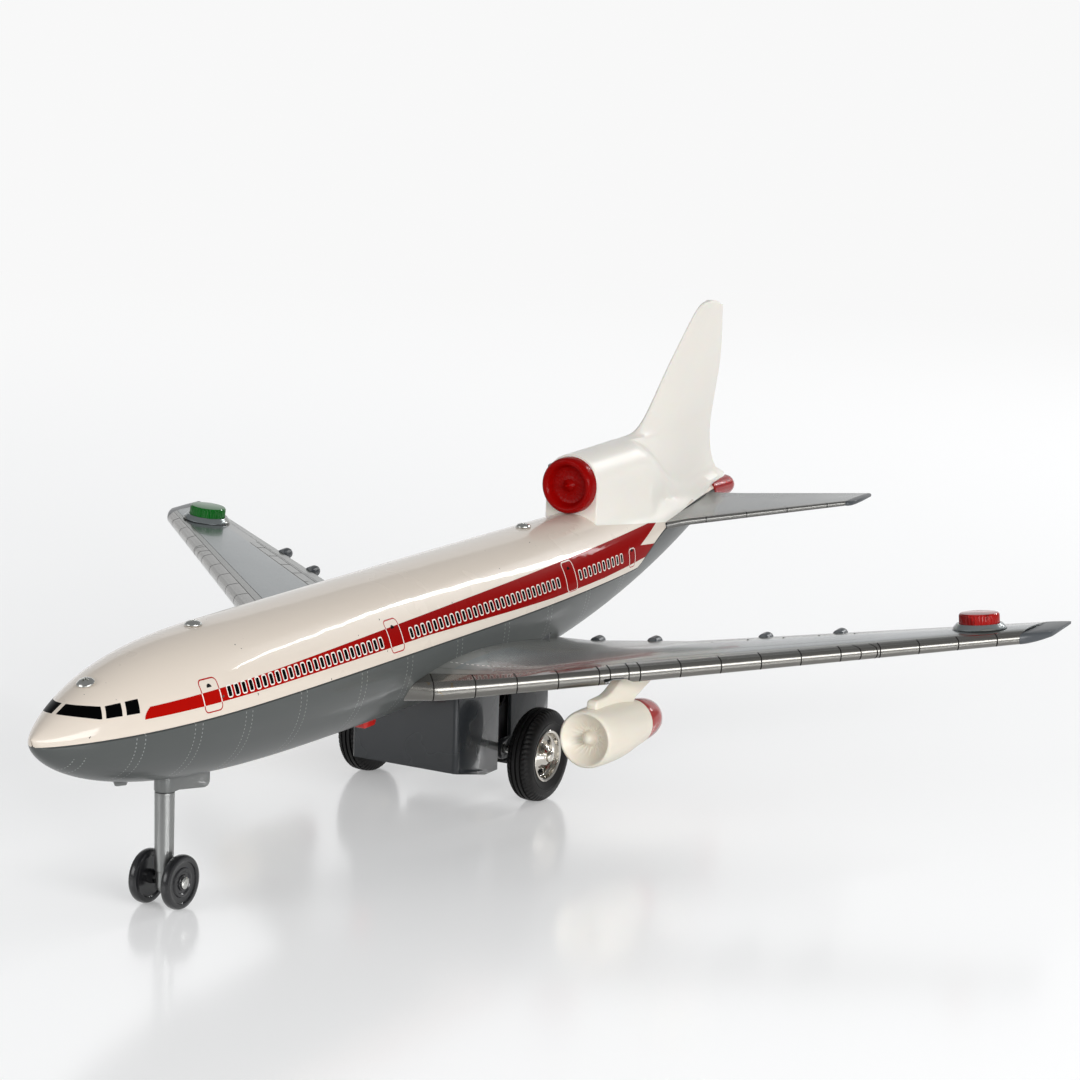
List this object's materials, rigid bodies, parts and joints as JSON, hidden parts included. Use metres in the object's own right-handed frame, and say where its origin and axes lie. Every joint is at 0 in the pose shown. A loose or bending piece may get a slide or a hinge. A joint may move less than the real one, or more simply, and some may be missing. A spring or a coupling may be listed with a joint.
{
  "type": "toy airliner",
  "caption": "Pressed-tin toy jet airliner with swept wings, tail-mounted centre engine, lamp lenses, battery box, geared axle drive and steerable nose wheels.",
  "frame": {"origin": "on the ground below the middle of the length, on the centre line", "axes": "nose towards -Y, port side +X, up +Z"},
  "size_m": [0.482, 0.5807, 0.2009],
  "materials": {
    "cream_tin": "gloss lithographed tin",
    "grey_tin": "gloss lithographed tin",
    "screw_steel": "bright",
    "bracket_steel": "zinc plated",
    "wing_tin": "gloss metallic print on tin",
    "wing_under_tin": "satin tin",
    "dark_plastic": "semi gloss moulded",
    "fairing_plastic": "semi gloss moulded",
    "red_lens": "clear red moulded lens",
    "green_lens": "clear green moulded lens",
    "bulb_glass": "clear",
    "white_plastic": "gloss moulded",
    "red_plastic": "gloss moulded",
    "cream_plastic": "satin moulded",
    "cell_wrap": "printed jacket",
    "motor_can": "plated can",
    "brass": "cut brass",
    "nylon": "natural",
    "tyre_rubber": "grooved rubber",
    "chrome": "bright chrome",
    "leg_steel": "satin grey",
    "wheel_plastic": "gloss black",
    "switch_board": "phenolic board"
  },
  "bodies": {
    "airframe": {"fuselage_upper": "cream_tin", "fuselage_lower": "grey_tin", "roof_screws": "screw_steel", "screw_posts": "bracket_steel", "wing_top_port": "wing_tin", "wing_top_starboard": "wing_tin", "wing_bottom_port": "wing_under_tin", "wing_bottom_starboard": "wing_under_tin", "wing_tip_port": "dark_plastic", "wing_tip_starboard": "dark_plastic", "flap_fairings_port": "fairing_plastic", "flap_fairings_starboard": "fairing_plastic", "lamp_seat_port": "wing_tin", "lamp_seat_starboard": "wing_tin", "lamp_lens_port": "red_lens", "lamp_lens_starboard": "green_lens", "lamp_bulb_port": "bulb_glass", "lamp_bulb_starboard": "bulb_glass", "stabiliser_port": "wing_tin", "stabiliser_starboard": "wing_tin", "stabiliser_tip_port": "dark_plastic", "stabiliser_tip_starboard": "dark_plastic", "tail_moulding": "white_plastic", "centre_inlet": "red_plastic", "tail_lamp": "red_lens", "tail_bulb": "bulb_glass", "engine_port": "cream_plastic", "engine_starboard": "cream_plastic", "engine_cone_port": "red_plastic", "engine_cone_starboard": "red_plastic", "battery_box": "dark_plastic", "battery_cells": "cell_wrap", "battery_contacts": "bracket_steel", "gear_housing": "dark_plastic", "gear_frame": "bracket_steel", "motor": "motor_can", "gear_pin": "screw_steel", "nose_bracket": "leg_steel", "switch_body": "switch_board", "belly_tab": "leg_steel"},
    "battery_flap": {"battery_door": "dark_plastic"},
    "axle_set": {"main_axle": "screw_steel", "axle_gear": "nylon", "tyre_port": "tyre_rubber", "tyre_starboard": "tyre_rubber", "hub_port": "chrome", "hub_starboard": "chrome"},
    "compound_wheel": {"compound_gear": "nylon"},
    "rotor": {"motor_pinion": "brass"},
    "steering_leg": {"nose_leg": "leg_steel", "leg_clip": "screw_steel", "nose_axle": "screw_steel"},
    "nose_wheel_left": {"nose_wheel_port": "wheel_plastic"},
    "nose_wheel_right": {"nose_wheel_starboard": "wheel_plastic"},
    "switch_slider": {"switch_knob": "red_plastic"}
  },
  "joints": [
    {"name": "axle_spin", "type": "hinge", "parent": "airframe", "child": "axle_set", "pos_m": [0, 0.0135, 0.021], "axis": [1, 0, 0], "continuous": true},
    {"name": "compound_spin", "type": "hinge", "parent": "airframe", "child": "compound_wheel", "pos_m": [0, 0.02375, 0.03112], "axis": [1, 0, 0], "continuous": true},
    {"name": "rotor_spin", "type": "hinge", "parent": "airframe", "child": "rotor", "pos_m": [0, 0.0375, 0.03], "axis": [1, 0, 0], "continuous": true},
    {"name": "leg_steer", "type": "hinge", "parent": "airframe", "child": "steering_leg", "pos_m": [0, -0.2075, 0.03], "axis": [0, 0, 1], "range_deg": [-30, 30]},
    {"name": "nose_wheel_left_spin", "type": "hinge", "parent": "steering_leg", "child": "nose_wheel_left", "pos_m": [0.00775, -0.2075, 0.011], "axis": [1, 0, 0], "continuous": true},
    {"name": "nose_wheel_right_spin", "type": "hinge", "parent": "steering_leg", "child": "nose_wheel_right", "pos_m": [-0.00775, -0.2075, 0.011], "axis": [1, 0, 0], "continuous": true},
    {"name": "switch_slide", "type": "slide", "parent": "airframe", "child": "switch_slider", "axis": [0, 1, 0], "range_m": [0, 0.005]},
    {"name": "battery_flap_swing", "type": "hinge", "parent": "airframe", "child": "battery_flap", "pos_m": [0, -0.026, 0.01909], "axis": [-1, 0, 0], "range_deg": [0, 100]}
  ],
  "couplings": [
    {"joint": "compound_spin", "follows": "axle_spin", "ratio": -2},
    {"joint": "rotor_spin", "follows": "axle_spin", "ratio": 7.2}
  ]
}
